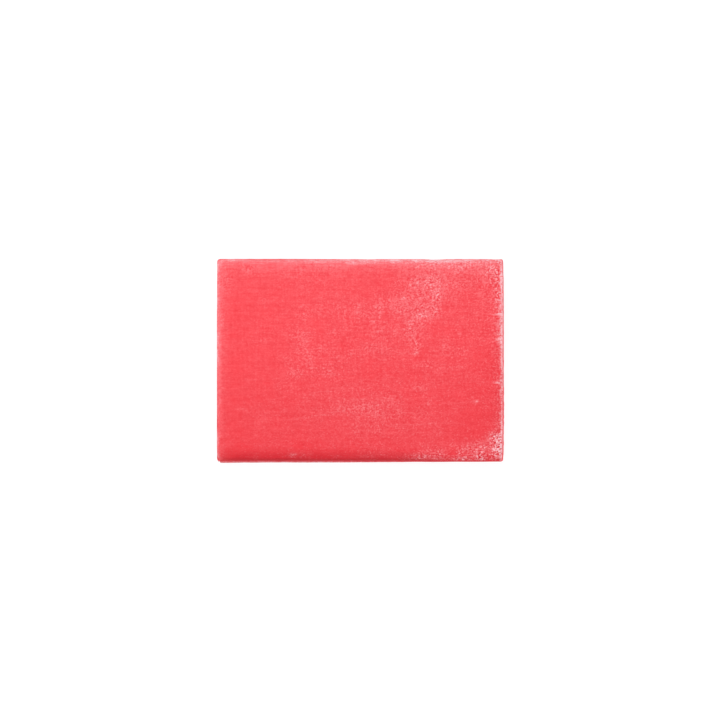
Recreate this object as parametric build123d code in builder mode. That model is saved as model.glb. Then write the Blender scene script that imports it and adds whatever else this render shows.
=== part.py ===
from build123d import *
from math import radians, tan
import os

# A bar of detailing clay: one solid lump, extruded as a flat strip and cut to length.
# X runs along the bar to its knife-cut end, Y runs across it and Z is up.
# The origin is the middle of the flat base. Lengths are in millimetres.

bar_length = 75.0            # from the pressed end to the cut end
bar_width = 53.2             # across the foot, where the bar is widest
bar_height = 15.0            # from the base to the crest of the top
crown_rise = 0.6             # how far the crest stands above the shoulders of the top
side_lean = 1.5              # degrees that each long side leans in as it rises
rolled_edge_radius = 3.0     # along both long edges of the top
pressed_end_radius = 1.4     # round the end at -X, which was squared up in the press
cut_end_radius = 0.6         # round the end at +X, where the knife went through
foot_radius = 0.5            # all round the base

shoulder_height = bar_height - crown_rise
shoulder_half_width = bar_width / 2 - shoulder_height * tan(radians(side_lean))

with BuildPart() as clay_block:
    # The strip's section: a flat base, leaning sides, rolled edges and a crowned top.
    with BuildSketch(Plane.YZ.offset(-bar_length / 2)) as section:
        with BuildLine():
            shoulder = (shoulder_half_width, shoulder_height)
            far_shoulder = (-shoulder_half_width, shoulder_height)
            foot = (bar_width / 2, 0)
            far_foot = (-bar_width / 2, 0)
            Polyline(far_shoulder, far_foot, foot, shoulder)
            ThreePointArc(shoulder, (0, bar_height), far_shoulder)
        make_face()
        fillet(section.vertices().group_by(Axis.Y)[-1], rolled_edge_radius)
    extrude(amount=bar_length)

    # Each end is rounded along its sides and top. The lowest edge waits for the foot.
    pressed_end = clay_block.faces().sort_by(Axis.X)[0]
    fillet(pressed_end.edges().sort_by(Axis.Z)[1:], pressed_end_radius)
    cut_end = clay_block.faces().sort_by(Axis.X)[-1]
    fillet(cut_end.edges().sort_by(Axis.Z)[1:], cut_end_radius)

    base = clay_block.faces().sort_by(Axis.Z)[0]
    fillet(base.edges(), foot_radius)

clay_block.part.label = "clay_block"
os.makedirs("parts", exist_ok=True)
export_step(clay_block.part, "parts/clay_block.step")
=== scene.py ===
import math

import bpy
import numpy as np
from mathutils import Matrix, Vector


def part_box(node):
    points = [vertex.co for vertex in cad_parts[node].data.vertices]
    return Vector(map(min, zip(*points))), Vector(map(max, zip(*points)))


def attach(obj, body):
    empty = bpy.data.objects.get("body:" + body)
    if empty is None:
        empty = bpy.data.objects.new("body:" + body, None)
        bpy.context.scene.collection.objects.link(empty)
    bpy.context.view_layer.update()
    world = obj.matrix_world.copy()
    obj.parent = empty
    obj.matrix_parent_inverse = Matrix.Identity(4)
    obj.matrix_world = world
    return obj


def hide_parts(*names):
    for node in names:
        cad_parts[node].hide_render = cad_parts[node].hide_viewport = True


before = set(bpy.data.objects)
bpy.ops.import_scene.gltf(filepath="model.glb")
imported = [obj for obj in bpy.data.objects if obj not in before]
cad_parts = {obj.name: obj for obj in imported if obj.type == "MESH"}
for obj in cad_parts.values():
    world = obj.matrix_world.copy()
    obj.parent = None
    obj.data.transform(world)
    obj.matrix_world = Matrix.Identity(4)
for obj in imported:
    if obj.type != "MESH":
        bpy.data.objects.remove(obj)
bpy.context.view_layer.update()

# The looks of one bar of red detailing clay. X runs along the bar to its knife-cut end,
# Y across it, Z up. The frame is in metres; the sizes here are in millimetres.
MM = 0.001

NODE = "clay_block"
low, high = (np.array(corner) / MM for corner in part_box(NODE))
HALF_LENGTH = (high[0] - low[0]) / 2
HALF_WIDTH = (high[1] - low[1]) / 2
HEIGHT = high[2] - low[2]

# Form
CROWN_RISE = 0.6             # the crest over the shoulders of the top
SIDE_LEAN = math.radians(1.5)
FRONT_LEAN = math.radians(0.4)    # the side at -Y, near the cut end
CUT_LEAN = math.radians(2.4)      # the knife went in a little off square
PRESSED_LEAN = math.radians(1.0)
FRONT_ROLL = (3.7, 2.0)      # top edge at -Y, to the left and to the right of its middle
BACK_ROLL = 3.2              # top edge at +Y
PRESSED_ROLL = 2.4           # top edge at -X
PRESSED_UPRIGHT = (1.2, 0.7)      # upright edges at -X, at -Y and +Y
CUT_ROLL = 0.5               # top edge at +X
CUT_UPRIGHT = (0.6, 0.5)     # upright edges at +X, at -Y and +Y
FOOT_RADIUS = 0.5
CUT_BOW = (0.24, 0.22)       # how far the cut end falls back towards its corners at -Y and +Y
CUT_BOW_POWER = 6            # so high that it falls back near the corners alone
PRESSED_BOW = (0.02, 0.10)   # the same at the pressed end, which falls back evenly
PRESSED_BOW_POWER = 2

# The side at -Y stands in from a thin foot that the press squeezed out. Pairs are for its
# left and its right end.
FRONT_INSET = (0.46, 0.32)   # how far the wall stands in from the foot's widest place
FRONT_CHANGE = (6.0, 26.0)   # where along the bar the wall goes over from the one to the other
ROLL_CHANGE = (0.0, 22.0)    # the same for its rolled edge
FOOT_DRIFT = (-0.09, 0.21)   # how far the foot itself comes in, below 0 outwards
FOOT_WAVER = 0.05            # how far its outline wanders
LEDGE_TOP = (0.48, 0.74)     # the heights between which the foot runs out

# Bites out of the side at +Y, each steep on one flank: (start, deepest, end, depth)
BITES = [(-2.0, 2.9, 4.6, 0.08), (15.9, 18.9, 25.6, 0.13), (32.6, 35.0, 38.5, 0.10)]

# Mesh
CORE_INSET = 3.2             # the core that the surface is drawn out from
SPACING = 0.285              # between grid lines on the top
WALL_SPACING = 0.58
REACH = 8.0                  # the surface lies within this of the core
PLAIN_ROWS = 9               # grid lines in each half of a rounded edge
FINE_ROWS = 14               # the same where the knife tore the clay
FOOT_ROWS = 12               # the same round the foot
CROWDING = 1.4               # above 1, such rows crowd towards the edge
HALVINGS = 26                # steps that find the surface along one line from the core
BASE_STEP = 3                # the base keeps one grid line in this many


# ---------------------------------------------------------------- noise

TABLE_SIDE = 32


def noise(points, size, seed):
    """Smooth noise from -1 to 1, with bumps about size across."""
    table = np.random.default_rng(seed).uniform(-1, 1, (TABLE_SIDE,) * 3)
    place = points / np.asarray(size, float)
    cell = np.floor(place).astype(int)
    part = place - cell
    part = part * part * (3 - 2 * part)
    total = np.zeros(len(points))
    for corner in np.ndindex(2, 2, 2):
        weight = np.prod(np.where(corner, part, 1 - part), axis=1)
        i, j, k = ((cell + corner) % TABLE_SIDE).T
        total += weight * table[i, j, k]
    return total


def fractal(points, size, seed, octaves=3, fade=0.55):
    """Noise summed over octaves, each half as large as the last."""
    size = np.asarray(size, float)
    layers = [noise(points, size / 2**n, seed + n) * fade**n for n in range(octaves)]
    return sum(layers) / sum(fade**n for n in range(octaves))


def smooth(value, start, end):
    """0 at start, 1 at end, easing at both."""
    share = np.clip((value - start) / (end - start), 0, 1)
    return share * share * (3 - 2 * share)


def between(first, last, share):
    """first at a share of 0, last at a share of 1."""
    return first + (last - first) * share


# ---------------------------------------------------------------- form

def rounded(one, other, radius):
    """The signed distance to where two solids meet, with their edge rounded."""
    a, b = one + radius, other + radius
    return np.minimum(np.maximum(a, b), 0) + np.hypot(np.maximum(a, 0), np.maximum(b, 0)) - radius


def leaning(out, up, lean):
    """The signed distance to a wall that leans in: out is how far past its foot, up the height."""
    return out * np.cos(lean) + up * np.sin(lean)


def bitten(x):
    """How deep the bites go in at places along the bar."""
    return sum(
        depth * smooth(x, start, deepest) * (1 - smooth(x, deepest, end))
        for start, deepest, end, depth in BITES
    )


def fallen_back(across, bow, power):
    """How far an end falls back at places across the bar."""
    return np.where(across < 0, *bow) * np.abs(across)**power


def outside(points):
    """About the signed distance to the bar's smooth form, in millimetres, below 0 inside."""
    x, y, z = points.T
    across = y / HALF_WIDTH
    rightwards = smooth(x, *FRONT_CHANGE)
    inset = between(*FRONT_INSET, rightwards)
    back = leaning(y - HALF_WIDTH + bitten(x), z, SIDE_LEAN)
    front = leaning(-y - HALF_WIDTH + inset, z, between(SIDE_LEAN, FRONT_LEAN, rightwards))
    top = z - HEIGHT + CROWN_RISE * across**2
    front_roll = between(*FRONT_ROLL, smooth(x, *ROLL_CHANGE))
    roll = between(front_roll, BACK_ROLL, smooth(across, -0.5, 0.5))
    strip = rounded(np.where(y < 0, front, back), top, roll)

    upper = smooth(z, HEIGHT / 2, HEIGHT - PRESSED_ROLL / 2)
    fallen = fallen_back(across, PRESSED_BOW, PRESSED_BOW_POWER)
    pressed = leaning(-x - HALF_LENGTH + fallen, z, PRESSED_LEAN)
    pressed_radius = between(np.where(y < 0, *PRESSED_UPRIGHT), PRESSED_ROLL, upper)
    fallen = fallen_back(across, CUT_BOW, CUT_BOW_POWER)
    cut = leaning(x - HALF_LENGTH + fallen, z, CUT_LEAN)
    cut_radius = between(np.where(y < 0, *CUT_UPRIGHT), CUT_ROLL, upper)
    bar = rounded(rounded(strip, pressed, pressed_radius), cut, cut_radius)
    return rounded(bar, -z, FOOT_RADIUS)


def pressed_foot(points):
    """How far the foot at -Y stands out past the wall over it."""
    x, y, z = points.T
    share = (x / HALF_LENGTH + 1) / 2
    width = between(*FRONT_INSET, smooth(x, *FRONT_CHANGE)) - between(*FOOT_DRIFT, share)
    width = width + FOOT_WAVER * fractal(points * (1, 0, 0), 5.0, seed=65)
    return width * (1 - smooth(z, *LEDGE_TOP)) * smooth(-y, HALF_WIDTH - 4, HALF_WIDTH - 1)


def slope_of(field, points, step=0.02):
    """The unit direction in which a field grows fastest."""
    parts = [field(points + step * axis) - field(points - step * axis) for axis in np.eye(3)]
    found = np.stack(parts, 1)
    return found / np.linalg.norm(found, axis=1, keepdims=True)


# ---------------------------------------------------------------- grid

def fan(rows, crowding=1.0):
    """How far each grid line of a rounded edge leans outwards, from the core to the edge."""
    return 1 - (1 - np.arange(1, rows + 1) / rows)**crowding


def stations(start, end, spacing, first_fan, last_fan):
    """The grid lines along one axis: where each leaves the core, and how it leans outwards."""
    count = max(1, round((end - start) / spacing))
    core = np.linspace(start, end, count + 1)
    place = np.concatenate([np.full(len(first_fan), start), core, np.full(len(last_fan), end)])
    lean = np.concatenate([-first_fan[::-1], np.zeros(count + 1), last_fan])
    return place, lean


PLAIN_FAN = fan(PLAIN_ROWS)
FINE_FAN = fan(FINE_ROWS, CROWDING)
FOOT_FAN = fan(FOOT_ROWS, CROWDING)
core_x, core_y = HALF_LENGTH - CORE_INSET, HALF_WIDTH - CORE_INSET
LINES = [
    stations(-core_x, core_x, SPACING, PLAIN_FAN, FINE_FAN),
    stations(-core_y, core_y, SPACING, PLAIN_FAN, PLAIN_FAN),
    stations(CORE_INSET, HEIGHT - CORE_INSET, WALL_SPACING, FOOT_FAN, FINE_FAN),
]
COUNTS = [len(place) for place, _ in LINES]


def draw_out(index):
    """The point of the form that each lattice index stands for."""
    core = np.stack([LINES[a][0][index[:, a]] for a in range(3)], 1)
    way = np.stack([LINES[a][1][index[:, a]] for a in range(3)], 1)
    way /= np.linalg.norm(way, axis=1, keepdims=True)
    near, far = np.zeros(len(core)), np.full(len(core), REACH)
    for _ in range(HALVINGS):
        middle = (near + far) / 2
        inside = outside(core + way * middle[:, None]) < 0
        near, far = np.where(inside, middle, near), np.where(inside, far, middle)
    return core + way * near[:, None]


def lattice_face(axis, side):
    """The lattice indices on one face of the box, as a grid."""
    others = [a for a in range(3) if a != axis]
    first, second = np.meshgrid(*(np.arange(COUNTS[a]) for a in others), indexing="ij")
    index = np.zeros((*first.shape, 3), int)
    index[..., others[0]] = first
    index[..., others[1]] = second
    index[..., axis] = side * (COUNTS[axis] - 1)
    return index


def cells(shape, step):
    """Polygons over a grid, as lists of grid places. A wide step keeps the border's lines."""
    keep = [sorted({*range(0, size - 1, step), size - 1}) for size in shape]
    last = [size - 1 for size in shape]
    found = []
    for i, i_next in zip(keep[0], keep[0][1:]):
        for j, j_next in zip(keep[1], keep[1][1:]):
            along_i = range(i, i_next) if j == 0 else (i,)
            up_j = range(j, j_next) if i_next == last[0] else (j,)
            back_i = range(i_next, i, -1) if j_next == last[1] else (i_next,)
            down_j = range(j_next, j, -1) if i == 0 else (j_next,)
            loop = [(a, j) for a in along_i] + [(i_next, b) for b in up_j]
            loop += [(a, j_next) for a in back_i] + [(i, b) for b in down_j]
            found.append(loop)
    return found


# ---------------------------------------------------------------- marks

# Scuffs that the press and the wrapping left on the top, dull spots last. Each is
# (x, y, half length, half width, strength).
SCUFFS = [
    (18.0, 20.2, 4.5, 2.0, 0.65), (19.5, 17.4, 1.4, 2.2, 0.85), (15.0, 17.0, 2.6, 1.3, 0.42),
    (13.6, 19.8, 2.4, 1.4, 0.32), (10.8, 16.4, 3.4, 1.6, 0.38), (12.6, 13.0, 4.6, 2.0, 0.12),
    (16.4, 11.7, 2.7, 1.4, 0.72), (19.1, 14.2, 1.5, 2.0, 0.85), (15.0, 9.3, 2.2, 1.6, 0.25),
    (15.0, 14.5, 2.4, 0.9, 0.3), (13.4, 8.2, 1.7, 3.0, 0.42), (14.3, 3.8, 1.2, 2.4, 0.46),
    (17.5, 6.5, 2.0, 1.5, 0.12), (13.0, 6.0, 3.0, 2.2, 0.1), (7.8, 14.0, 1.6, 2.0, 0.12),
    (10.0, 13.8, 3.0, 1.3, 0.26), (20.4, 16.8, 1.2, 1.0, 0.25), (4.6, 13.8, 1.2, 3.2, 0.45),
    (3.6, 10.2, 1.0, 1.6, 0.10), (-0.4, 13.2, 1.3, 2.4, 0.3), (1.8, 12.4, 1.0, 2.0, 0.15),
    (-4.6, 13.4, 2.2, 3.0, 0.14), (-34.8, 20.8, 1.6, 2.4, 0.22), (4.3, 7.4, 1.1, 1.5, 0.25),
    (9.6, 7.2, 1.5, 2.2, 0.1), (9.2, 20.6, 1.4, 1.2, 0.3), (18.6, 21.0, 2.4, 1.0, 0.25),
    (3.0, 3.6, 4.0, 1.4, 0.10), (-1.8, 1.9, 1.9, 0.9, 0.2), (7.2, 4.0, 3.6, 2.2, 0.05),
    (22.2, 4.2, 1.5, 2.2, 0.2), (26.5, 2.4, 2.4, 1.2, 0.12), (-24.0, 6.8, 4.5, 1.5, 0.08),
    (-15.2, 6.8, 1.9, 1.7, 0.34), (-17.0, -1.0, 2.6, 0.9, 0.14), (-14.4, 11.4, 1.3, 3.4, 0.18),
    (-14.6, 4.2, 1.3, 2.2, 0.3), (-18.2, 0.6, 2.2, 1.2, 0.25), (-17.4, 6.5, 1.6, 3.5, 0.16),
    (-12.5, 12.3, 3.5, 1.4, 0.18), (-16.5, 13.5, 2.0, 1.0, 0.12), (-17.5, 19.5, 3.0, 3.0, 0.06),
    (-13.0, -2.0, 3.5, 1.0, 0.15), (-13.2, 0.4, 1.2, 3.0, 0.3), (-17.0, -3.4, 2.2, 1.6, 0.42),
    (-8.4, -2.8, 2.2, 1.8, 0.22), (-10.2, 3.2, 1.5, 1.7, 0.22), (-18.0, -6.5, 3.0, 1.5, 0.08),
    (-21.2, -4.0, 0.8, 5.0, 0.12), (-5.6, 0.6, 2.6, 2.2, 0.12), (-4.2, -10.0, 0.9, 3.5, 0.1),
    (5.6, -7.6, 4.0, 1.4, 0.08), (0.6, -12.7, 3.0, 1.5, 0.40), (4.0, -11.7, 3.0, 1.6, 0.30),
    (8.0, -10.8, 2.4, 1.5, 0.2), (6.0, -14.2, 2.6, 1.2, 0.25), (9.0, -14.5, 1.5, 2.0, 0.12),
    (4.5, -17.8, 2.2, 1.4, 0.2), (-5.5, -12.4, 2.6, 1.6, 0.2), (3.4, -16.0, 3.6, 2.2, 0.12),
    (10.6, -13.2, 1.2, 1.1, 0.2), (-0.6, -17.6, 1.4, 2.0, 0.14), (15.5, -13.0, 1.5, 1.0, 0.2),
    (17.5, -2.0, 1.3, 1.5, 0.15), (17.5, -11.4, 1.0, 1.5, 0.14), (20.0, -18.2, 2.6, 1.6, 0.1),
    (24.5, -16.0, 2.0, 1.0, 0.1), (10.0, -17.5, 3.4, 0.9, 0.12), (15.5, -6.6, 1.9, 1.4, 0.2),
    (17.0, -0.8, 3.8, 0.9, 0.13), (25.6, -1.6, 2.0, 0.9, 0.1), (27.4, -4.6, 1.6, 1.0, 0.1),
    (30.0, -10.4, 0.9, 0.8, 0.22), (18.0, 24.0, 5.5, 1.6, 0.12), (25.0, 19.8, 2.8, 2.2, 0.2),
    (30.0, 21.0, 1.8, 1.6, 0.25), (33.9, 23.6, 1.0, 2.0, 0.30), (25.5, 24.2, 4.0, 1.4, 0.35),
    (34.6, 21.4, 1.6, 2.4, 0.6), (23.6, 16.4, 1.8, 1.6, 0.12), (32.6, 17.0, 2.4, 3.0, 0.12),
    (-9.0, 15.0, 2.0, 2.5, 0.1), (-7.5, 7.0, 2.2, 1.5, 0.1), (-13.0, 21.0, 8.0, 4.0, 0.08),
    (-24.0, -14.4, 3.0, 1.0, 0.08), (18.0, -15.0, 6.0, 1.6, 0.1), (18.4, -23.8, 3.0, 1.6, 0.28),
    (12.6, -25.0, 3.0, 0.9, 0.15), (28.0, -22.8, 3.0, 1.0, 0.15), (35.2, -20.0, 1.6, 1.3, 1.50),
    (36.8, -22.6, 1.1, 0.9, 1.40), (29.0, -26.0, 3.0, 0.7, 0.40), (4.0, -23.6, 5.0, 1.6, 0.14),
    (-29.0, 23.6, 3.0, 1.6, 0.22), (18.4, 16.8, 3.4, 0.8, 0.20), (2.9, 4.4, 1.5, 1.8, 0.14),
    (35.6, 17.0, 0.8, 2.6, 0.80), (-8.0, 12.0, 12.0, 4.0, 0.05), (-27.0, 9.0, 7.0, 5.0, 0.04),
    (8.4, -8.0, 1.4, 1.0, 0.10), (-11.6, -12.8, 1.0, 0.8, 0.16), (35.4, -16.9, 0.9, 0.8, 0.60),
    (-16.4, 2.8, 1.2, 2.2, 0.10), (-12.0, 6.0, 1.4, 3.0, 0.08), (-27.0, 4.6, 2.5, 1.6, 0.06),
    (25.0, 2.6, 3.0, 0.9, 0.08), (24.6, 7.2, 1.2, 1.2, 0.10), (-8.0, 24.2, 7.0, 1.4, 0.08),
    (1.5, 25.0, 2.0, 1.0, 0.12), (-36.0, 10.4, 1.0, 1.6, 0.20), (15.6, 25.4, 2.4, 0.9, 0.14),
    (29.0, 25.4, 2.0, 1.0, 0.20), (-36.4, 21.6, 1.4, 1.0, 0.16), (-25.5, 18.0, 1.4, 1.6, 0.08),
    (-19.8, 14.2, 1.4, 1.0, 0.10), (36.3, 22.0, 1.0, 1.6, 0.35), (21.0, -0.9, 0.9, 0.7, 0.20),
    (-1.5, -13.5, 1.2, 0.9, 0.18), (-4.8, 12.8, 1.0, 0.8, 0.15), (15.8, 13.8, 1.0, 1.0, 0.30),
    (17.0, -22.8, 1.4, 1.0, 0.20), (27.0, 20.0, 0.8, 1.2, 0.20), (15.6, -5.8, 1.0, 0.8, 0.14),
    (33.0, 23.8, 1.0, 1.6, 0.30), (-35.4, -24.8, 1.6, 1.0, 0.14), (19.0, 20.7, 1.4, 0.8, 0.20),
    (13.8, 2.4, 0.6, 1.4, 0.25), (36.0, 20.6, 0.9, 2.2, 0.25), (36.6, -9.5, 0.8, 1.6, 0.20),
    (-5.0, 24.0, 5.0, 1.4, -0.1), (-4.4, 3.6, 1.0, 2.6, -0.08), (5.0, -2.6, 5.0, 1.2, -0.14),
    (11.6, 19.7, 1.3, 1.6, -0.2), (18.8, 7.6, 2.0, 2.4, -0.12), (16.6, 1.8, 1.1, 1.5, -0.16),
    (3.6, 21.6, 4.0, 2.0, -0.14), (30.0, -14.0, 7.0, 5.0, -0.12), (33.9, 7.4, 1.8, 2.6, -0.20),
    (-14.4, -6.4, 1.5, 1.1, -0.1), (-32.0, 13.0, 3.0, 4.0, -0.1), (-33.0, -1.0, 2.5, 3.0, -0.1),
    (1.4, 5.9, 2.5, 0.9, -0.14), (31.5, 1.4, 3.0, 2.0, -0.14), (34.4, -5.0, 1.5, 6.0, -0.14),
    (14.0, -3.6, 3.0, 1.8, -0.10), (-14.8, -21.3, 3.5, 1.4, -0.2), (22.6, 7.8, 1.4, 1.8, -0.12),
    (-5.8, -11.8, 0.8, 1.5, -0.15), (-32.5, -17.0, 2.5, 2.5, -0.12), (-20.0, -4.0, 13.0, 3.0, -0.05),
    (24.8, -24.4, 1.8, 1.0, -0.30), (36.6, -3.2, 1.0, 1.3, -0.30), (-33.4, 6.9, 2.2, 1.0, -0.16),
    (6.0, 12.4, 0.9, 1.6, -0.25), (-14.8, 8.4, 0.9, 0.8, -0.30), (8.4, 16.6, 0.9, 1.0, -0.25),
    (14.4, 0.4, 1.0, 1.0, -0.2), (-17.2, 17.6, 1.2, 1.4, -0.12), (-12.0, -0.6, 1.0, 0.8, -0.16),
    (35.2, -0.6, 2.4, 1.0, -0.16), (9.0, -20.8, 5.0, 1.0, -0.10), (-9.6, -20.0, 2.0, 2.0, -0.08),
    (20.6, -15.8, 1.6, 1.2, -0.14), (29.6, -19.6, 4.0, 1.6, -0.12), (-1.8, 3.8, 1.6, 1.6, -0.10),
    (-25.5, 25.8, 4.0, 1.2, -0.15), (-5.5, 26.3, 1.2, 0.8, -0.30), (6.5, 23.2, 2.0, 1.4, -0.14),
    (30.4, 26.3, 1.2, 0.8, -0.30), (29.0, -6.4, 1.6, 1.0, -0.14), (3.0, -0.4, 1.6, 0.8, -0.16),
    (13.2, 11.7, 1.2, 1.2, -0.20), (-11.4, 9.5, 1.2, 0.9, -0.16), (35.0, 12.6, 1.2, 0.7, -0.20),
    (33.4, 18.4, 1.0, 1.6, -0.16), (-31.0, -21.8, 2.0, 1.0, -0.14), (-24.4, -5.9, 1.4, 1.0, -0.14),
    (21.6, 23.6, 1.0, 1.0, -0.25), (28.0, 22.8, 1.2, 0.9, -0.25), (17.8, 22.0, 1.0, 0.8, -0.30),
    (-8.5, -26.0, 4.0, 0.9, -0.10), (14.9, 1.6, 0.8, 1.6, -0.15),
]
SCUFF_WARP = 1.0             # how far noise moves the edge of a scuff
SCUFF_LEVELLING = 0.35       # above 0, so that scuffs that overlap don't add up in full
DULLEST = -0.35

# The rubbed corner at +X, -Y: how far it reaches along each edge, and how its streaks run
CORNER_X, CORNER_Y = 36.0, 9.0
STREAK_TURN = math.radians(42)
STREAK_SIZE = (3.2, 0.9, 1.6)

# Places in that corner that are rubbed more, or less: (x, y, half length, half width, share)
CORNER_PATCHES = [
    (18.6, -24.0, 2.6, 1.8, 0.8), (26.4, -25.7, 1.2, 0.8, 0.9), (29.0, -23.4, 1.2, 1.2, 0.3),
    (31.2, -26.0, 0.7, 1.3, 1.6), (37.0, -22.4, 1.2, 0.9, 1.8), (34.8, -19.6, 1.4, 1.4, 1.4),
    (35.4, -17.0, 1.0, 1.0, 0.8), (25.0, -23.5, 2.8, 1.7, -0.7), (29.4, -26.0, 0.9, 1.4, -0.9),
    (33.4, -24.6, 0.9, 1.8, -0.5), (36.2, -25.9, 1.8, 1.1, -1.0), (34.6, -25.5, 0.7, 0.7, 0.8),
    (35.2, -23.2, 0.7, 0.7, -0.6), (29.6, -20.8, 4.0, 1.3, -0.5), (37.0, -20.9, 0.9, 0.6, -0.5),
    (15.0, -26.2, 4.0, 0.9, -0.8),
]

# Whitish places on the rolled edge at +Y: (x, half length, strength)
BACK_SPOTS = [
    (-33.2, 1.2, 0.40), (-30.0, 0.9, 0.20), (-18.6, 0.9, 0.50), (-12.7, 1.0, 0.3), (-9.6, 1.2, 0.4),
    (-2.6, 1.0, 0.8), (0.6, 1.2, 0.4), (4.2, 1.0, 0.7), (9.0, 1.8, 0.8), (11.8, 1.2, 0.2),
    (14.6, 1.0, 0.6), (19.4, 1.6, 1.2), (23.2, 1.6, 0.9), (28.2, 1.4, 0.6), (32.8, 1.2, 0.3),
    (36.6, 1.0, 0.7),
]

# Rubbed places along the lower edge at -Y: (x, half length, strength)
FRONT_RUBS = [
    (-28.0, 2.4, 0.3), (-17.4, 1.0, 1.7), (-15.0, 1.0, 1.0), (-13.0, 0.5, 1.0), (-6.0, 2.0, 0.3),
    (2.0, 5.0, 0.3), (15.5, 3.0, 0.8),
]

# How far the tears of the cut reach in over the top at places across the bar, 1 being common
LIP_PLACES = [-26, -24, -22.6, -21, -18, -15, -13.4, -12, -10, -8, -6, -3.5, -1, 1, 2.5, 4, 5, 6.4,
              7.6, 9, 10.3, 11.6, 15, 17.5, 21, 26]
LIP_REACH = [0.8, 2.4, 5.0, 0.6, 0.4, 0.8, 1.2, 0.3, 0.9, 0.6, 2.9, 0.0, 0.8, 0.8, 0.4, 2.8, 0.9, 5.0,
             1.4, 4.8, 0.9, 2.8, 1.0, 0.0, 0.6, 0.4]

# How pale the cut edge is, and how strong and broad the painted highlight at -X is, at places across the
# bar
PALLOR_PLACES = [-26, -23, -20, -17, -11, -8, -3, 1.5, 3.4, 5.5, 8.5, 12, 17, 20, 26]
CUT_PALLOR = [1.1, 1.1, 1.15, 0.95, 0.45, 0.6, 0.8, 1.0, 1.1, 1.15, 1.18, 1.2, 1.27, 1.3, 1.5]
RIM_PALLOR = [6.0, 1.4, 3.2, -0.5, 1.0, 0.2, 0.1, 4.2, 1.2, 3.4, 0.2, 1.3, 2.6, 0.8, 4.0]
RIM_BREADTH = [0.6, 0.5, 0.5, 0.6, 0.95, 0.9, 1.0, 1.3, 1.1, 1.4, 1.3, 1.5, 1.4, 1.2, 0.6]
CUT_EDGE = HALF_LENGTH - HEIGHT * math.tan(CUT_LEAN)
CUT_RIM = 0.27               # how pale the clay is that the knife sheared at that edge
KNIFE_SLANT = 0.12           # how far the knife's lines run across the bar as they come down

# Painted highlight on the rolled edges at +Y and -X, which face the lamps: a broad soft sheen,
# and a thin bright rim outside it. Pairs are for the left and the right of the edge at +Y.
BACK_SHEEN, BACK_RIM_HIGHLIGHT = (0.27, 0.38), (0.36, 0.27)
PRESSED_SHEEN, PRESSED_RIM_HIGHLIGHT = 0.22, 0.24
BACK_REACH, PRESSED_REACH, RIM_REACH = 1.6, 1.2, 0.35    # how far they go in from the edge

# Faint lines that the wrapping drew over the top: (start x, start y, end x, end y, strength)
CREASES = [
    (0.5, 2.3, 29.0, 1.3, 0.50), (11.0, -1.4, 28.5, -1.8, 0.45), (-36.5, -5.9, -18.0, -4.2, 0.35),
    (-21.0, -15.4, -3.5, -13.4, 0.50), (7.5, -17.0, 26.0, -15.9, 0.40), (21.5, -11.0, 36.5, -10.0, 0.45),
    (-12.0, -3.5, -3.5, -3.7, 0.50), (-15.0, -8.3, -6.0, -7.9, 0.50), (-4.5, -10.1, 3.2, -9.7, 0.50),
    (-0.8, -13.3, 4.0, -13.3, 0.40), (0.5, 13.5, 14.0, 14.8, 0.40), (13.5, 11.6, 23.0, 11.4, 0.45),
    (12.0, 16.6, 22.0, 17.0, 0.40), (10.5, 19.5, 25.0, 19.6, 0.45), (27.0, 22.5, 33.5, 22.5, 0.60),
    (-20.0, 3.3, -13.5, 3.3, 0.35), (-36.0, -0.3, -16.5, 0.0, 0.15), (-30.0, -21.5, -20.0, -21.0, 0.15),
    (9.9, 14.6, 9.9, 24.6, 0.45), (-27.2, -8.0, -26.8, 6.0, 0.30), (27.0, -22.3, 34.5, -22.1, 1.80),
    (-14.6, 2.0, -14.2, 14.0, 0.25), (-36.0, 15.0, -20.0, 15.6, 0.20), (-34.0, -12.6, -22.0, -12.0, 0.25),
]
CREASE_WIDTH = 0.21
CREASE_TAPER = 0.3           # the share of a line that each of its ends takes to fade

# Single pale grains that stand out on the top: (x, y, strength)
GRAINS = [
    (3.3, 10.1, 1.0), (5.0, 15.2, 0.6), (11.2, 16.5, 0.8), (20.0, 17.2, 0.7), (15.0, 19.8, 0.5),
    (12.5, 19.8, 0.6), (12.9, 8.4, 0.9), (18.9, 14.4, 0.5), (16.1, 11.8, 0.5), (5.0, 12.4, 0.6),
    (4.5, 7.5, 0.7), (8.9, 7.6, 0.5), (25.8, 7.0, 0.5), (30.2, -10.6, 0.8), (-2.6, 1.8, 0.6),
    (14.4, 2.0, 0.7), (17.4, -10.8, 0.5), (35.0, 5.7, 0.3),
]
GRAIN_SIZE = 0.36


def warped(points, reach, size, seed):
    """The points' x and y, moved about by noise."""
    return (points[:, :2] + reach * np.stack([fractal(points, size, seed + n) for n in (0, 9)], 1)).T


def patches(x, y, places):
    """Soft oval patches, each (x, y, half length, half width, strength), added up."""
    total = np.zeros(len(x))
    for centre_x, centre_y, long, wide, strength in places:
        total += strength * np.exp(-(((x - centre_x) / long)**2 + ((y - centre_y) / wide)**2))
    return total


def scuffs(points):
    """How scuffed the top is: 0 where it is plain, below 0 where it is duller."""
    x, y = warped(points, SCUFF_WARP, size=3.2, seed=101)
    total = patches(x, y, SCUFFS)
    levelled = total / (1 + SCUFF_LEVELLING * np.maximum(total, 0))
    return np.maximum(levelled, DULLEST) * (1 + 0.35 * fractal(points, (2.0, 1.3, 1.3), seed=121))


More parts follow.
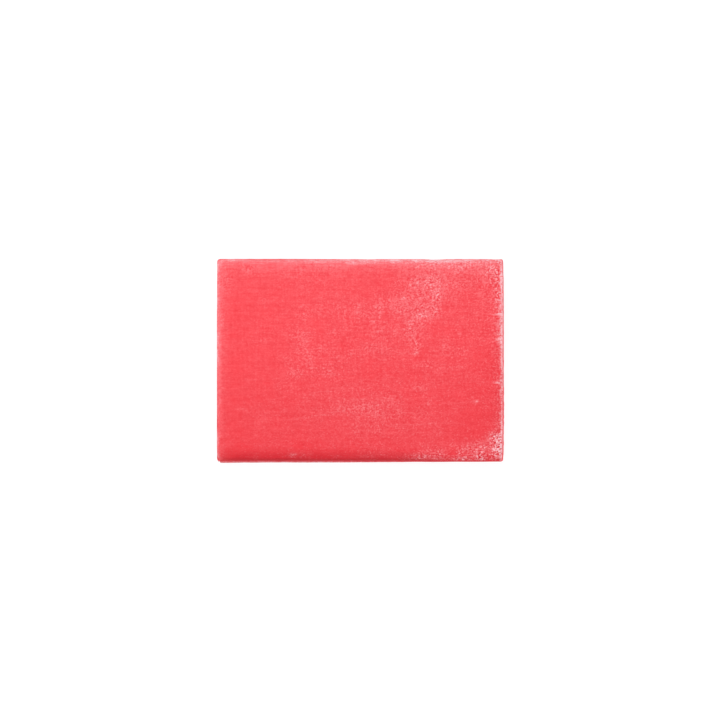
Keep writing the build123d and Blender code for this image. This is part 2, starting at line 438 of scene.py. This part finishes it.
def creases(points):
    """How strong the faint lines are, from 0 to about 1."""
    x, y = warped(points, 0.30, size=5.0, seed=161)
    total = np.zeros(len(points))
    for start_x, start_y, end_x, end_y, strength in CREASES:
        run_x, run_y = end_x - start_x, end_y - start_y
        length = math.hypot(run_x, run_y)
        share = ((x - start_x) * run_x + (y - start_y) * run_y) / length**2
        off = ((x - start_x) * run_y - (y - start_y) * run_x) / length
        tapered = smooth(share, 0, CREASE_TAPER) * (1 - smooth(share, 1 - CREASE_TAPER, 1))
        total += strength * tapered * np.exp(-(off / CREASE_WIDTH)**2)
    return total * np.maximum(1 + 1.2 * fractal(points, 2.4, seed=165), 0)


def grains(points):
    """How much the single grains stand out, from 0 to 1."""
    x, y, _ = points.T
    return patches(x, y, [(*place, GRAIN_SIZE, GRAIN_SIZE, strength) for *place, strength in GRAINS])


def rubbed_corner(points):
    """How rubbed the corner at +X, -Y is, from 0 to about 1."""
    x, y = warped(points, 1.3, size=3.0, seed=131)
    inwards, upwards = (HALF_LENGTH - x) / CORNER_X, (y + HALF_WIDTH) / CORNER_Y
    away = np.maximum(inwards, 0)**0.9 + np.maximum(upwards, 0)**0.9
    turn = np.array([[math.cos(STREAK_TURN), math.sin(STREAK_TURN)],
                     [-math.sin(STREAK_TURN), math.cos(STREAK_TURN)]])
    turned = np.column_stack([points[:, :2] @ turn.T, points[:, 2]])
    x, y = warped(points, 0.4, size=2.0, seed=137)
    streaks = 1 + 0.85 * fractal(turned, STREAK_SIZE, seed=135) + patches(x, y, CORNER_PATCHES)
    x, y, _ = points.T
    spared = 0.65 * np.exp(-((y + HALF_WIDTH - 0.4) / 1.1)**2) * smooth(x, 20, 28)
    return (1 - smooth(away, 0.22, 1.12)) * np.maximum(streaks, 0.1) * (1 - spared)


def along_edge(points, spots):
    """The strength of a row of spots at places along the bar."""
    x = warped(points, 0.6, size=2.0, seed=185)[0]
    return sum(strength * np.exp(-((x - place) / half)**2) for place, half, strength in spots)


def front_rubs(points):
    """How rubbed the rolled edge at -Y is."""
    patchy = np.maximum(0.5 + 1.3 * fractal(points, (1.4, 0.8, 0.8), seed=191), 0)
    near_edge = np.exp(-((points[:, 1] + HALF_WIDTH - 1.5) / 1.0)**2)
    near_top = smooth(points[:, 2], HEIGHT - 4, HEIGHT - 1)
    return (0.08 + along_edge(points, FRONT_RUBS)) * patchy * near_edge * near_top


def back_spots(points):
    """How whitish the rolled edge at +Y is."""
    patchy = np.maximum(0.8 + 1.0 * fractal(points, (1.5, 0.5, 0.5), seed=193), 0)
    from_edge = np.maximum(HALF_WIDTH - 0.3 - points[:, 1], 0)
    near_top = smooth(points[:, 2], HEIGHT - 9, HEIGHT - 4)
    return along_edge(points, BACK_SPOTS) * patchy * np.exp(-(from_edge / 0.9)**2) * near_top


def behind_cut(points):
    """How far each point lies behind the top edge of the cut, and how far tears reach there."""
    x, y, _ = points.T
    edge = CUT_EDGE - fallen_back(y / HALF_WIDTH, CUT_BOW, CUT_BOW_POWER)
    return edge - x, np.interp(y, LIP_PLACES, LIP_REACH)


def torn_lip(points):
    """How torn the top is beside the cut, from 0 to 1."""
    inwards, reach = behind_cut(points)
    edge_line = points * (0, 1, 0)
    teeth = np.maximum(0.06 + fractal(edge_line, 0.8, seed=141), 0)
    width = 0.45 + 1.5 * reach * teeth
    patchy = 0.85 + 0.9 * fractal(points, (2.2, 0.6, 0.6), seed=171)
    near_top = smooth(points[:, 2], HEIGHT - 2.6, HEIGHT - 1.2)
    strength = np.minimum(np.interp(points[:, 1], PALLOR_PLACES, CUT_PALLOR), 1)
    return (1 - smooth(inwards, 0.35 * width, width)) * patchy * near_top * strength


def knife_slant(points):
    """The points moved so that what is upright there follows the knife's slanting lines."""
    return points + points[:, 2:] * (0, KNIFE_SLANT, 0)


def cut_haze(points):
    """The pale band along the cut: a soft one on the top, and one on the cut face below it."""
    inwards, reach = behind_cut(points)
    z = points[:, 2]
    on_top = 0.075 * reach * np.exp(-np.maximum(inwards, 0) / 0.9)
    sheared = CUT_RIM * smooth(-inwards, -0.55, 0.0)
    depth_below = np.maximum(HEIGHT - 0.4 - z, 0)
    drag = 1 + 1.5 * fractal(knife_slant(points), (3.0, 0.6, 14.0), seed=197)
    smear = CUT_RIM * np.exp(-depth_below / 1.8) + 0.08
    smear += 0.10 * fractal(points, (3.0, 5.0, 5.0), seed=199)
    face = smooth(-inwards, 0.0, 0.12) * smear * np.maximum(drag, 0.2)
    line = np.maximum(sheared * np.exp(-depth_below / 0.8), face)
    line = line * np.interp(points[:, 1], PALLOR_PLACES, CUT_PALLOR)
    return on_top * smooth(z, HEIGHT - 4, HEIGHT - 2) + line


def edge_painted_highlight(points):
    """Painted highlight on the rolled edges at +Y and -X, which face the lamps: how pale it makes them.
    """
    x, y, z = points.T
    back = between(*BACK_SHEEN, smooth(x, -20, -4)) * np.exp(-(HALF_WIDTH - y) / BACK_REACH)
    back += between(*BACK_RIM_HIGHLIGHT, smooth(x, -10, 5)) * np.exp(-(HALF_WIDTH - y) / RIM_REACH)
    back *= between(0.8, 1, smooth(x, -36, -30))
    breadth = np.interp(y, PALLOR_PLACES, RIM_BREADTH)
    pallor = np.interp(y, PALLOR_PLACES, RIM_PALLOR)
    pressed = PRESSED_SHEEN * breadth * np.exp(-(HALF_LENGTH + x) / PRESSED_REACH)
    pressed += PRESSED_RIM_HIGHLIGHT * pallor * np.exp(-(HALF_LENGTH + x) / RIM_REACH)
    streaks = 1 + 0.65 * fractal(points, (2.8, 0.7, 0.7), seed=181)
    return (back + pressed) * streaks * smooth(z, HEIGHT - 9, HEIGHT - 2)


def wall_streaks_and_pale_foot(points, normals):
    """How pale the two long walls are, in streaks along the bar, and how pale the pressed foot is."""
    x, y, z = points.T
    long_side = smooth(np.abs(normals[:, 1]), 0.6, 0.95) * (1 - smooth(z, HEIGHT - 6, HEIGHT - 3))
    streaks = 0.006 + 0.05 * fractal(points, (16.0, 1.1, 1.1), seed=201)
    foot = between(0.56, 0.36, smooth(x, -20, 5)) * (1 - smooth(z, 0.5, 0.75))
    return long_side * streaks + foot * (1 - smooth(y + HALF_WIDTH, 0.8, 1.6))


# What each kind of wear adds to how pale the clay is, how rough, and how deep its red is
PALER = {
    "scuffed": 0.18, "corner": 0.22, "lip": 0.36, "creased": 0.09, "front": 0.13, "back": 0.55,
    "grains": 0.22,
}
ROUGHER = {"plain": 0.06, "worn": 0.13, "corner": 0.88, "front": 0.60, "beside_cut": 0.52}
ROUGHER_SCUFFS = 0.53
DEEPER = {"corner": 0.14, "worn": 0.04}
CLOUD_SIZES = ((9.0, 5.0, 5.0), (3.6, 1.6, 1.6))
CLOUDS = 0.16                # how much paler and redder they make the clay all over the bar


def wear(points, normals):
    """How strong each kind of wear is at each point, mostly from 0 to about 1.

    Plain is everywhere, top is the top of the bar, and worn is where its grain is stronger.
    """
    x, y, _ = points.T
    up = normals[:, 2]
    top = smooth(up, 0.05, 0.45)
    return {
        "plain": 1,
        "top": top,
        "worn": smooth(x - 0.5 * y, -34, -2) * (1 - 0.55 * smooth(y - 0.8 * x, 8, 20)),
        "scuffed": scuffs(points) * top,
        "creased": creases(points) * top,
        "grains": grains(points) * top,
        "corner": rubbed_corner(points) * smooth(up, 0.2, 0.7),
        "lip": torn_lip(points),
        "front": front_rubs(points),
        "back": back_spots(points),
        "beside_cut": np.exp(-np.maximum(behind_cut(points)[0], 0) / 2.2) * top,
    }


def added_up(shares, worn):
    """The kinds of wear, each times its share, added up."""
    return sum(share * worn[kind] for kind, share in shares.items())


def how_pale(points, normals, worn):
    """How pale the clay is, from 0 where it is clean red, painted sheen and highlight included."""
    across = points[:, 1] / HALF_WIDTH
    # Painted sheen: paler towards +Y over the top. Painted shade: less pale on the rolled edge at -Y.
    tone_with_painted_light = 0.069 + 0.009 * worn["worn"] + 0.016 * across * worn["top"]
    tone_with_painted_light = tone_with_painted_light - 0.070 * smooth(-across, 0.80, 0.97)
    clouds = sum(fractal(points, size, seed=151 + 2 * n) for n, size in enumerate(CLOUD_SIZES))
    # Painted highlight on the rolled edges at +Y and -X, the pale band of the cut, and the walls' streaks
    highlight_and_bands = edge_painted_highlight(points) + cut_haze(points) + wall_streaks_and_pale_foot(points, normals)
    return tone_with_painted_light * (1 + CLOUDS * clouds) + added_up(PALER, worn) + highlight_and_bands


def how_rough(points, normals, worn):
    """How strong the grain is, from 0 to 1.4."""
    rough = added_up(ROUGHER, worn) + ROUGHER_SCUFFS * np.maximum(worn["scuffed"], 0)**0.8
    rough = rough * (1 - 0.6 * np.clip(worn["lip"], 0, 1))
    cut_face = smooth(normals[:, 0], 0.6, 0.9) * smooth(HEIGHT - points[:, 2], 0.4, 1.6)
    return np.clip(rough * (1 - 0.6 * cut_face), 0, 1.4)


def depth_and_painted_shade(points, worn):
    """How deep the red is, from 0 to about 1: painted shade at -Y and its edge, and beside the cut."""
    x, y, z = points.T
    across = y / HALF_WIDTH
    front_edge = smooth(-across, 0.94, 0.985) * between(0.5, 1, smooth(z, HEIGHT - 6, HEIGHT - 3))
    front_edge *= between(1, 0.25, smooth(x, 10, 24)) * between(0.55, 1, smooth(x, -37, -31))
    above_edge = smooth(-across, 0.86, 0.94) * (1 - smooth(x, 8, 28)) * smooth(x, -38, -31)
    # Painted shade: deeper red over the half towards -Y, above its rolled edge, and most on that edge
    shade = 0.17 * smooth(-across, -0.4, 0.9) + 0.34 * above_edge + 0.80 * front_edge
    beside_cut = 0.24 * worn["beside_cut"] * (1 - 0.7 * smooth(y, 6, 18))
    return (beside_cut + added_up(DEEPER, worn) + shade) * smooth(z, 0.6, 1.0)


# ---------------------------------------------------------------- relief

# How far each part of the relief stands out or goes in, in millimetres
SWELLS, WAVES = 0.09, 0.03   # broad ones and smaller ones, all over
GRAIN = (0.010, 0.045)       # everywhere, and more for each unit of roughness
GROOVES = 0.035              # under the faint lines
DRAWN = 0.07                 # the lines along the long walls
RAGGED = (0.05, 0.11)        # the wall at +Y, to the left and near the cut
KNIFE_LINES, PITS, BURR = 0.15, 0.20, 0.13
BURR_REACH = 0.45            # from the top edge of the cut

# Soft dents: (x, y, z, radius, depth)
DENTS = [
    (-21.0, -26.6, 7.5, 5.5, 0.30), (14.0, -26.6, 9.0, 4.0, 0.22), (27.0, -26.6, 5.0, 3.5, 0.20),
    (-9.0, 26.6, 6.5, 6.0, 0.30), (24.0, 26.6, 8.5, 3.4, 0.22), (-37.5, 9.0, 7.0, 4.5, 0.22),
    (-37.5, -13.0, 8.5, 4.0, 0.20),
]


def dents(points):
    """How deep the dents are, in millimetres."""
    total = np.zeros(len(points))
    for *centre, radius, depth in DENTS:
        away = np.linalg.norm((points - centre) / radius, axis=1)
        total += depth * (1 - smooth(away, 0.1, 1.0))
    return total


def wall_relief(points, normals):
    """How far the long walls stand out: lines drawn along them, and the ragged wall at +Y."""
    drawn = DRAWN * smooth(np.abs(normals[:, 1]), 0.5, 0.9)
    ragged = smooth(normals[:, 1], 0.3, 0.9) * between(*RAGGED, smooth(points[:, 0], 13, 20))
    return (drawn * fractal(points, (24.0, 0.9, 0.9), seed=41)
            + ragged * fractal(points, (0.9, 0.8, 1.6), seed=45, octaves=2))


def cut_relief(points, normals):
    """How far the cut end stands out: the knife's lines, the pits, and the burr on its top edge."""
    y, z = points[:, 1], points[:, 2]
    on_face = smooth(normals[:, 0], 0.6, 0.95)
    knife = KNIFE_LINES * fractal(knife_slant(points), (2.0, 0.9, 16.0), seed=51)
    pits = PITS * smooth(noise(points, (1.5, 1.1, 1.4), seed=57), 0.62, 0.85)
    above = HEIGHT - CROWN_RISE * (y / HALF_WIDTH)**2 - z
    from_edge = np.hypot(behind_cut(points)[0], above)
    teeth = np.clip(0.55 + 1.5 * fractal(points * (0, 1, 0), 1.1, seed=61), 0, 1.4)
    return on_face * (knife - pits) + BURR * teeth * np.exp(-(from_edge / BURR_REACH)**2)


def relief(points, normals, rough):
    """How far each point stands out from the smooth form, in millimetres."""
    swell = SWELLS * fractal(points, 19.0, seed=11, octaves=2) + WAVES * fractal(points, 6.0, seed=21)
    grain = (GRAIN[0] + GRAIN[1] * rough) * fractal(points, (1.2, 0.8, 0.8), seed=31, octaves=2)
    grooves = GROOVES * creases(points) * smooth(normals[:, 2], 0.3, 0.8)
    found = swell + grain - grooves - dents(points)
    found += wall_relief(points, normals) + cut_relief(points, normals)
    return found * smooth(points[:, 2], 0.0, 1.2)


# ---------------------------------------------------------------- mesh

# Where each face of the box lies on the texture sheet: its corner, scale, and whether
# its two directions are swapped
SHEET_SIDE = 110.0
SHEET = {
    (2, 1): ((0.5, 0.5), 1.0, False),
    (0, 0): ((77.0, 0.5), 1.0, True),
    (0, 1): ((93.5, 0.5), 1.0, True),
    (1, 0): ((0.5, 55.5), 1.0, False),
    (1, 1): ((0.5, 72.5), 1.0, False),
    (2, 0): ((77.0, 56.0), 0.42, False),
}


def sheet_places(grid, corner, scale, swapped):
    """Texture coordinates over a grid of points, with lengths kept on average."""
    lengths = []
    for axis in (0, 1):
        steps = np.linalg.norm(np.diff(grid, axis=axis), axis=2).mean(axis=1 - axis)
        lengths.append(np.concatenate([[0], np.cumsum(steps)]) * scale)
    places = np.stack(np.meshgrid(*lengths, indexing="ij"), -1)
    if swapped:
        places = places[..., ::-1]
    return (places + corner) / SHEET_SIDE


def shaped(index):
    """The point of the bar that each lattice index stands for, and the three masks there."""
    points = draw_out(index)
    normals = slope_of(outside, points)
    worn = wear(points, normals)
    masks = {
        "pale": how_pale(points, normals, worn),
        "rough": how_rough(points, normals, worn),
        # deep carries painted shade as well as the deeper red of the clay
        "deep": depth_and_painted_shade(points, worn),
    }
    points = points + normals * relief(points, normals, masks["rough"])[:, None]
    points[:, 1] -= pressed_foot(points)
    return points, masks


def skin(faces, keys, points):
    """The polygons over all faces of the box, and the place of each of their corners on the sheet."""
    polygons, places = [], []
    for (axis, side), index in faces.items():
        number = np.searchsorted(keys, np.ravel_multi_index(np.moveaxis(index, -1, 0), COUNTS))
        sheet = sheet_places(points[number], *SHEET[axis, side])
        turned = (side == 0) != (axis == 1)
        for loop in cells(number.shape, BASE_STEP if (axis, side) == (2, 0) else 1):
            loop = loop[::-1] if turned else loop
            polygons.append([number[place] for place in loop])
            places.extend(sheet[place] for place in loop)
    return polygons, places


def make_bar():
    """The bar as one closed mesh, with its masks and its texture coordinates."""
    faces = {(axis, side): lattice_face(axis, side) for axis in range(3) for side in (0, 1)}
    flat = np.concatenate([index.reshape(-1, 3) for index in faces.values()])
    keys, first = np.unique(np.ravel_multi_index(flat.T, COUNTS), return_index=True)
    points, masks = shaped(flat[first])
    polygons, places = skin(faces, keys, points)

    mesh = bpy.data.meshes.new("clay_bar")
    mesh.from_pydata(points * MM, [], polygons)
    mesh.uv_layers.new(name="OFBake").data.foreach_set("uv", np.ravel(places))
    for name, values in masks.items():
        mesh.attributes.new(name, "FLOAT", "POINT").data.foreach_set("value", values)
    mesh.polygons.foreach_set("use_smooth", np.ones(len(mesh.polygons), bool))
    bar = bpy.data.objects.new("clay_bar", mesh)
    bpy.context.scene.collection.objects.link(bar)
    return bar


# ---------------------------------------------------------------- materials

RED = (0.95, 0.044, 0.058)
DEEP_RED = (0.66, 0.022, 0.034)
PALE = (0.98, 0.555, 0.60)


def add(tree, kind, inputs=(), **settings):
    """A shader node with its settings and inputs, each a value or another node's socket."""
    node = tree.nodes.new("ShaderNode" + kind)
    for name, value in settings.items():
        setattr(node, name, value)
    for name, value in dict(inputs).items():
        if isinstance(value, bpy.types.NodeSocket):
            tree.links.new(value, node.inputs[name])
        else:
            node.inputs[name].default_value = value
    return node


def math_of(tree, operation, one, other=0.0, clamp=False):
    """One operation on two values, where each may be a socket."""
    return add(tree, "Math", {0: one, 1: other}, operation=operation, use_clamp=clamp).outputs[0]


def scaled(tree, value, factor, plus, clamp=False):
    """value * factor + plus, where each may be a socket."""
    inputs = {0: value, 1: factor, 2: plus}
    return add(tree, "Math", inputs, operation="MULTIPLY_ADD", use_clamp=clamp).outputs[0]


def speckle(tree, size, offset, detail=1.0):
    """Noise from 0 to 1 with bumps of the given size in millimetres along each axis."""
    coordinates = add(tree, "TexCoord").outputs["Object"]
    scale = [1 / (length * MM) for length in size]
    placed = add(tree, "Mapping", {"Vector": coordinates, "Scale": scale, "Location": (offset,) * 3})
    texture = add(tree, "TexNoise", {"Vector": placed.outputs[0], "Scale": 1.0, "Detail": detail})
    return texture.outputs["Fac"]


def attribute(tree, name):
    """One of the masks on the mesh."""
    return add(tree, "Attribute", attribute_name=name).outputs["Fac"]


STIPPLE_GAIN = 5.6           # turns the sum of the noises into about one deviation
SOFT_GAIN = 4.8              # the same for smooth clay
CLUMPED, DRAWN_ALONG, DRAWN_ACROSS = 0.75, 0.8, 0.6    # its coarser noises, the finest being 1


def stipple(tree):
    """The grain of scuffed clay, short dashes along and across the bar: 0 with a deviation of 1."""
    along = speckle(tree, (0.60, 0.36, 0.40), 3.0)
    across = speckle(tree, (0.36, 0.54, 0.54), 17.0)
    both = math_of(tree, "ADD", along, across)
    return scaled(tree, both, STIPPLE_GAIN, -STIPPLE_GAIN)


def streaking(tree):
    """The faint grain of smooth clay, with lines drawn along the bar: 0 with a deviation of 1."""
    fine = speckle(tree, (1.0, 0.58, 0.58), 53.0)
    clumps = speckle(tree, (2.6, 1.5, 1.5), 43.0)
    along = speckle(tree, (9.0, 0.50, 0.50), 61.0)
    across = speckle(tree, (0.55, 6.0, 6.0), 67.0)
    both = scaled(tree, clumps, CLUMPED, fine)
    lines = scaled(tree, across, DRAWN_ACROSS, math_of(tree, "MULTIPLY", along, DRAWN_ALONG))
    everything = math_of(tree, "ADD", both, lines)
    middle = (1 + CLUMPED + DRAWN_ALONG + DRAWN_ACROSS) / 2
    return scaled(tree, everything, SOFT_GAIN, -middle * SOFT_GAIN)


FLECK_SIZE = (0.40, 0.34, 0.36)
FLECK_FROM = 0.63            # how high the noise has to rise to make a fleck
FLECK_SLOPE = 8.0


def flecks(tree):
    """Scattered grains: 0 almost everywhere, up to 1 in each fleck."""
    noise = speckle(tree, FLECK_SIZE, 71.0, detail=0.0)
    return scaled(tree, noise, FLECK_SLOPE, -FLECK_SLOPE * FLECK_FROM, clamp=True)


FAINT = 0.085                # how strong the grain of smooth clay is
SWING = (0.48, 0.02)         # how strong the dashes are, for each unit of roughness and everywhere
FLECK_SHARE = (0.29, 0.014)  # the same for the flecks
BURST = 2.5                  # above 1, so that the pale grains are few and bright
MOTTLE_SIZE = (5.0, 3.5, 3.5)
MOTTLE = (0.20, -0.02)       # how much deeper the mottle makes the red: factor and offset
FAINT_SHADE = -0.034         # the same for the faint grain, below 0 as painted shade deepens the red in its pits
PIT_SHADE = -0.22            # the same for the dashes


def clay_colour(tree, pale, rough, deep, dots, streaks):
    """Red clay with pale grains where scuffed, and deeper red painted as shade in the pits between them.
    """
    faint = scaled(tree, streaks, FAINT, 1.0)
    swing = math_of(tree, "MULTIPLY", dots, scaled(tree, rough, *SWING))
    lifted = math_of(tree, "MAXIMUM", math_of(tree, "ADD", swing, faint), 0.0)
    burst = math_of(tree, "POWER", lifted, BURST)
    scattered = math_of(tree, "MULTIPLY", flecks(tree), scaled(tree, rough, *FLECK_SHARE))
    paleness = scaled(tree, pale, burst, scattered, clamp=True)

    mottle = scaled(tree, speckle(tree, MOTTLE_SIZE, 31.0, detail=3.0), *MOTTLE)
    mottle = scaled(tree, streaks, FAINT_SHADE, mottle)
    # Painted shade from the deep mask and in the pits deepens the red, with the mottle's own tone
    depth = scaled(tree, swing, PIT_SHADE, math_of(tree, "ADD", deep, mottle), clamp=True)
    red = add(tree, "Mix", {0: depth, 6: (*RED, 1), 7: (*DEEP_RED, 1)}, data_type="RGBA")
    return add(tree, "Mix", {0: paleness, 6: red.outputs[2], 7: (*PALE, 1)}, data_type="RGBA").outputs[2]


ROUGHNESS = 0.78
SPECULAR = 0.06
BUMP = 0.02                  # in millimetres, for one deviation of the dashes and a roughness of 1
LEAST_ROUGH = 0.08           # so much of it is everywhere


def clay_material():
    """The clay, whose colour and bump follow the masks on the mesh."""
    material = bpy.data.materials.new("clay")
    material.use_nodes = True
    tree = material.node_tree
    shader = tree.nodes["Principled BSDF"]
    pale, rough, deep = (attribute(tree, name) for name in ("pale", "rough", "deep"))
    dots, streaks = stipple(tree), streaking(tree)
    tree.links.new(clay_colour(tree, pale, rough, deep, dots, streaks), shader.inputs["Base Color"])

    shader.inputs["Roughness"].default_value = ROUGHNESS
    shader.inputs["Specular IOR Level"].default_value = SPECULAR
    height = math_of(tree, "MULTIPLY", dots, math_of(tree, "ADD", rough, LEAST_ROUGH))
    bump = add(tree, "Bump", {"Height": height, "Distance": BUMP * MM, "Strength": 1.0})
    tree.links.new(bump.outputs[0], shader.inputs["Normal"])
    return material


# ---------------------------------------------------------------- stage

PIXELS_PER_MM = 3.826        # in a picture 720 pixels wide
PICTURE = 720
OFF_CENTRE = (0.4, 0.8)      # pixels by which the bar lies right of and below the middle
LENS = 400.0
SENSOR = 36.0


def make_camera():
    """A long lens straight above the bar."""
    data = bpy.data.cameras.new("camera")
    data.lens = LENS
    data.sensor_width = SENSOR
    width = PICTURE / PIXELS_PER_MM * MM
    distance = width * LENS / SENSOR
    data.clip_start = 0.05
    data.clip_end = 2 * distance
    camera = bpy.data.objects.new("camera", data)
    right, down = (pixels / PIXELS_PER_MM * MM for pixels in OFF_CENTRE)
    camera.location = (-right, down, distance)
    bpy.context.scene.collection.objects.link(camera)
    bpy.context.scene.camera = camera


def make_lamp(name, azimuth, elevation, distance, size, level):
    """A round soft lamp. The level is how brightly it alone would light a white card facing it."""
    data = bpy.data.lights.new(name, "AREA")
    data.shape = "DISK"
    data.size = size
    data.energy = level * (math.pi * distance)**2
    lamp = bpy.data.objects.new(name, data)
    turn, rise = math.radians(azimuth), math.radians(elevation)
    flat = distance * math.cos(rise)
    lamp.location = (flat * math.cos(turn), flat * math.sin(turn), distance * math.sin(rise))
    way = -lamp.location
    lamp.rotation_euler = way.to_track_quat("-Z", "Y").to_euler()
    lamp.visible_camera = False
    bpy.context.scene.collection.objects.link(lamp)


def seen_directly(tree):
    """A socket that is 1 for camera, glossy and transmitted rays, and 0 for others."""
    path = add(tree, "LightPath")
    seen = path.outputs["Is Camera Ray"]
    for name in ("Is Glossy Ray", "Is Transmission Ray"):
        seen = math_of(tree, "MAXIMUM", seen, path.outputs[name])
    return seen


WORLD_FILL = 0.26


def make_world():
    """A white room that is shown at full strength, and lights the bar with less."""
    world = bpy.data.worlds.new("studio")
    world.use_nodes = True
    bpy.context.scene.world = world
    tree = world.node_tree
    background = tree.nodes["Background"]
    background.inputs["Color"].default_value = (1, 1, 1, 1)
    strength = add(tree, "MapRange", {"Value": seen_directly(tree), "To Min": WORLD_FILL, "To Max": 1})
    tree.links.new(strength.outputs["Result"], background.inputs["Strength"])


FLOOR_SIDE = 3.0
FLOOR_BOUNCE = 0.72          # how much light the floor gives back
FLOOR_SHOWN = 0.20           # the part of the shown floor that takes light and shadow
FLOOR_GLOW = 0.90            # the part that doesn't


def floor_material():
    """A grey floor that is shown near white, with a faint shadow."""
    material = bpy.data.materials.new("floor")
    material.use_nodes = True
    tree = material.node_tree
    tree.nodes.clear()
    bounce = add(tree, "BsdfDiffuse", {"Color": (FLOOR_BOUNCE,) * 3 + (1,)})
    shown = add(tree, "BsdfDiffuse", {"Color": (FLOOR_SHOWN,) * 3 + (1,)})
    glow = add(tree, "Emission", {"Strength": FLOOR_GLOW})
    both = add(tree, "AddShader", {0: shown.outputs[0], 1: glow.outputs[0]})
    choose = add(tree, "MixShader", {0: seen_directly(tree), 1: bounce.outputs[0], 2: both.outputs[0]})
    add(tree, "OutputMaterial", {"Surface": choose.outputs[0]})
    return material


def make_floor():
    """The sheet that the bar lies on, which isn't part of it."""
    half = FLOOR_SIDE / 2
    corners = [(-half, -half, 0), (half, -half, 0), (half, half, 0), (-half, half, 0)]
    mesh = bpy.data.meshes.new("floor")
    mesh.from_pydata(corners, [], [(0, 1, 2, 3)])
    mesh.materials.append(floor_material())
    floor = bpy.data.objects.new("floor", mesh)
    bpy.context.scene.collection.objects.link(floor)


# ---------------------------------------------------------------- making

make_camera()
make_world()
make_floor()
make_lamp("key", azimuth=100, elevation=22, distance=0.9, size=0.35, level=0.28)
make_lamp("left", azimuth=186, elevation=22, distance=0.9, size=0.35, level=0.30)
make_lamp("right", azimuth=352, elevation=15, distance=0.9, size=0.35, level=0.42)
make_lamp("front", azimuth=275, elevation=18, distance=0.9, size=0.35, level=0.24)
make_lamp("top", azimuth=120, elevation=68, distance=1.0, size=0.50, level=0.456)

bar = make_bar()
bar.data.materials.append(clay_material())
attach(bar, "root")
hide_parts(NODE)

bpy.context.scene.view_settings.view_transform = "Standard"
